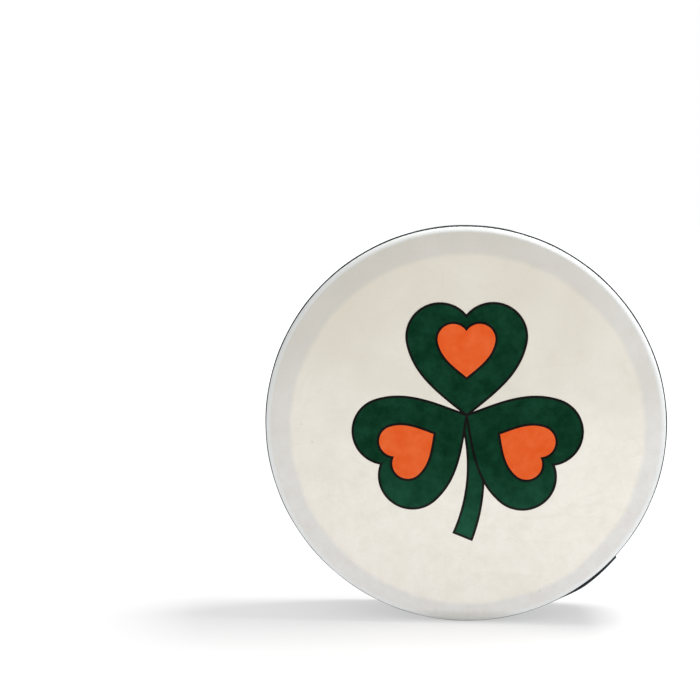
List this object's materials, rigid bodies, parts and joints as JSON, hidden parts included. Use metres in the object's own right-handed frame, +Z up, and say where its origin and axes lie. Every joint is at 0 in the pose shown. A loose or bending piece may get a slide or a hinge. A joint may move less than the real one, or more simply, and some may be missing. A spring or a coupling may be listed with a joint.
{
  "type": "bodhran",
  "caption": "Hand-held frame drum: a printed goatskin over a black wooden shell, with a waisted crossbar grip and an inner tuning hoop pushed against the skin by hex-socket bolts.",
  "frame": {"origin": "middle of the crossbar's hand grip, on the drum's axis", "axes": "+Y along the drum's axis from the skin towards the open back, +Z up along the crossbar, +X to the right seen from the skin's side"},
  "size_m": [0.4606, 0.0908, 0.4605],
  "materials": {
    "goatskin": "dry matte",
    "black_lacquer": "satin black lacquer outside, clear-coated inside",
    "trim_black": "dull black woven strip",
    "bar_wood": "clear satin",
    "hoop_wood": "sanded, unfinished",
    "zinc_steel": "bright zinc plate",
    "bolt_steel": "black oxide",
    "screw_steel": "zinc plate"
  },
  "bodies": {
    "drum": {"skin": "goatskin", "shell": "black_lacquer", "trim_strip": "trim_black", "skin_tacks": "screw_steel", "crossbar": "bar_wood", "crossbar_screws": "screw_steel", "tuner_bracket_1": "zinc_steel", "tuner_bracket_2": "zinc_steel", "tuner_bracket_3": "zinc_steel", "tuner_bracket_4": "zinc_steel", "tuner_bracket_5": "zinc_steel", "tuner_bracket_6": "zinc_steel", "tuner_nut_1": "zinc_steel", "tuner_nut_2": "zinc_steel", "tuner_nut_3": "zinc_steel", "tuner_nut_4": "zinc_steel", "tuner_nut_5": "zinc_steel", "tuner_nut_6": "zinc_steel", "bracket_screws": "screw_steel"},
    "tuning_hoop": {"tuning_hoop": "hoop_wood", "hoop_plate_1": "zinc_steel", "hoop_plate_2": "zinc_steel", "hoop_plate_3": "zinc_steel", "hoop_plate_4": "zinc_steel", "hoop_plate_5": "zinc_steel", "hoop_plate_6": "zinc_steel", "hoop_plate_screws": "screw_steel"},
    "tuning_bolt_1": {"tuning_bolt_1": "bolt_steel"},
    "tuning_bolt_2": {"tuning_bolt_2": "bolt_steel"},
    "tuning_bolt_3": {"tuning_bolt_3": "bolt_steel"},
    "tuning_bolt_4": {"tuning_bolt_4": "bolt_steel"},
    "tuning_bolt_5": {"tuning_bolt_5": "bolt_steel"},
    "tuning_bolt_6": {"tuning_bolt_6": "bolt_steel"}
  },
  "joints": [
    {"name": "hoop_slide", "type": "slide", "parent": "drum", "child": "tuning_hoop", "axis": [0, 1, 0], "range_m": [0, 0.006]},
    {"name": "bolt_turn_1", "type": "hinge", "parent": "tuning_hoop", "child": "tuning_bolt_1", "pos_m": [0.2073, -0.0073, 0], "axis": [0, 1, 0], "range_deg": [0, 2160]},
    {"name": "bolt_turn_2", "type": "hinge", "parent": "tuning_hoop", "child": "tuning_bolt_2", "pos_m": [0.10365, -0.0073, 0.17953], "axis": [0, 1, 0], "range_deg": [-1, 2161]},
    {"name": "bolt_turn_3", "type": "hinge", "parent": "tuning_hoop", "child": "tuning_bolt_3", "pos_m": [-0.10365, -0.0073, 0.17953], "axis": [0, 1, 0], "range_deg": [-1, 2161]},
    {"name": "bolt_turn_4", "type": "hinge", "parent": "tuning_hoop", "child": "tuning_bolt_4", "pos_m": [-0.2073, -0.0073, 0], "axis": [0, 1, 0], "range_deg": [-1, 2161]},
    {"name": "bolt_turn_5", "type": "hinge", "parent": "tuning_hoop", "child": "tuning_bolt_5", "pos_m": [-0.10365, -0.0073, -0.17953], "axis": [0, 1, 0], "range_deg": [-1, 2161]},
    {"name": "bolt_turn_6", "type": "hinge", "parent": "tuning_hoop", "child": "tuning_bolt_6", "pos_m": [0.10365, -0.0073, -0.17953], "axis": [0, 1, 0], "range_deg": [-1, 2161]}
  ],
  "couplings": [
    {"joint": "hoop_slide", "follows": "bolt_turn_1", "m_per_rad": 0.00015915},
    {"joint": "bolt_turn_2", "follows": "bolt_turn_1", "ratio": 1},
    {"joint": "bolt_turn_3", "follows": "bolt_turn_1", "ratio": 1},
    {"joint": "bolt_turn_4", "follows": "bolt_turn_1", "ratio": 1},
    {"joint": "bolt_turn_5", "follows": "bolt_turn_1", "ratio": 1},
    {"joint": "bolt_turn_6", "follows": "bolt_turn_1", "ratio": 1}
  ]
}
